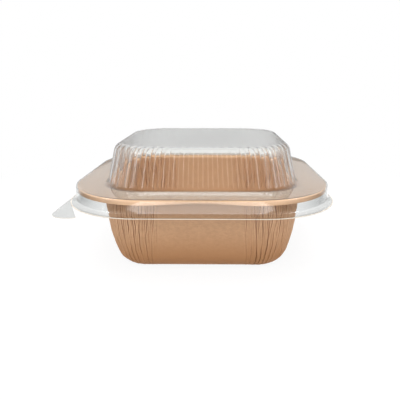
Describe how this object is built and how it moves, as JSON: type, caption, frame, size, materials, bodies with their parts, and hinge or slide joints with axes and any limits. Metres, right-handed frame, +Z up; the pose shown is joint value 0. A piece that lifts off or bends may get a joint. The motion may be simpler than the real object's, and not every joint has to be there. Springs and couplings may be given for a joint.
{
  "type": "paper food tray with clear lid",
  "caption": "Square pressed-paper food tray with creased corners and a wide flat rim, under a clear ribbed dome lid with a corner pull tab.",
  "frame": {"origin": "centre of the tray's flat underside, which is also the middle of the whole part's outline seen from above", "axes": "+Z up through the tray and lid, -Y towards the front as pictured, +X to the right; the pull tab is at the front left corner, at -X and -Y"},
  "size_m": [0.1576, 0.1576, 0.0738],
  "materials": {
    "brown_board": "matt, uncoated brown paper board",
    "clear_film": "glossy clear formed plastic film"
  },
  "bodies": {
    "tray": {"tray": "brown_board"},
    "lid": {"lid": "clear_film"}
  },
  "joints": [
    {"name": "lid_lift", "type": "slide", "parent": "tray", "child": "lid", "axis": [0, 0, 1], "range_m": [0, 0.06]}
  ]
}
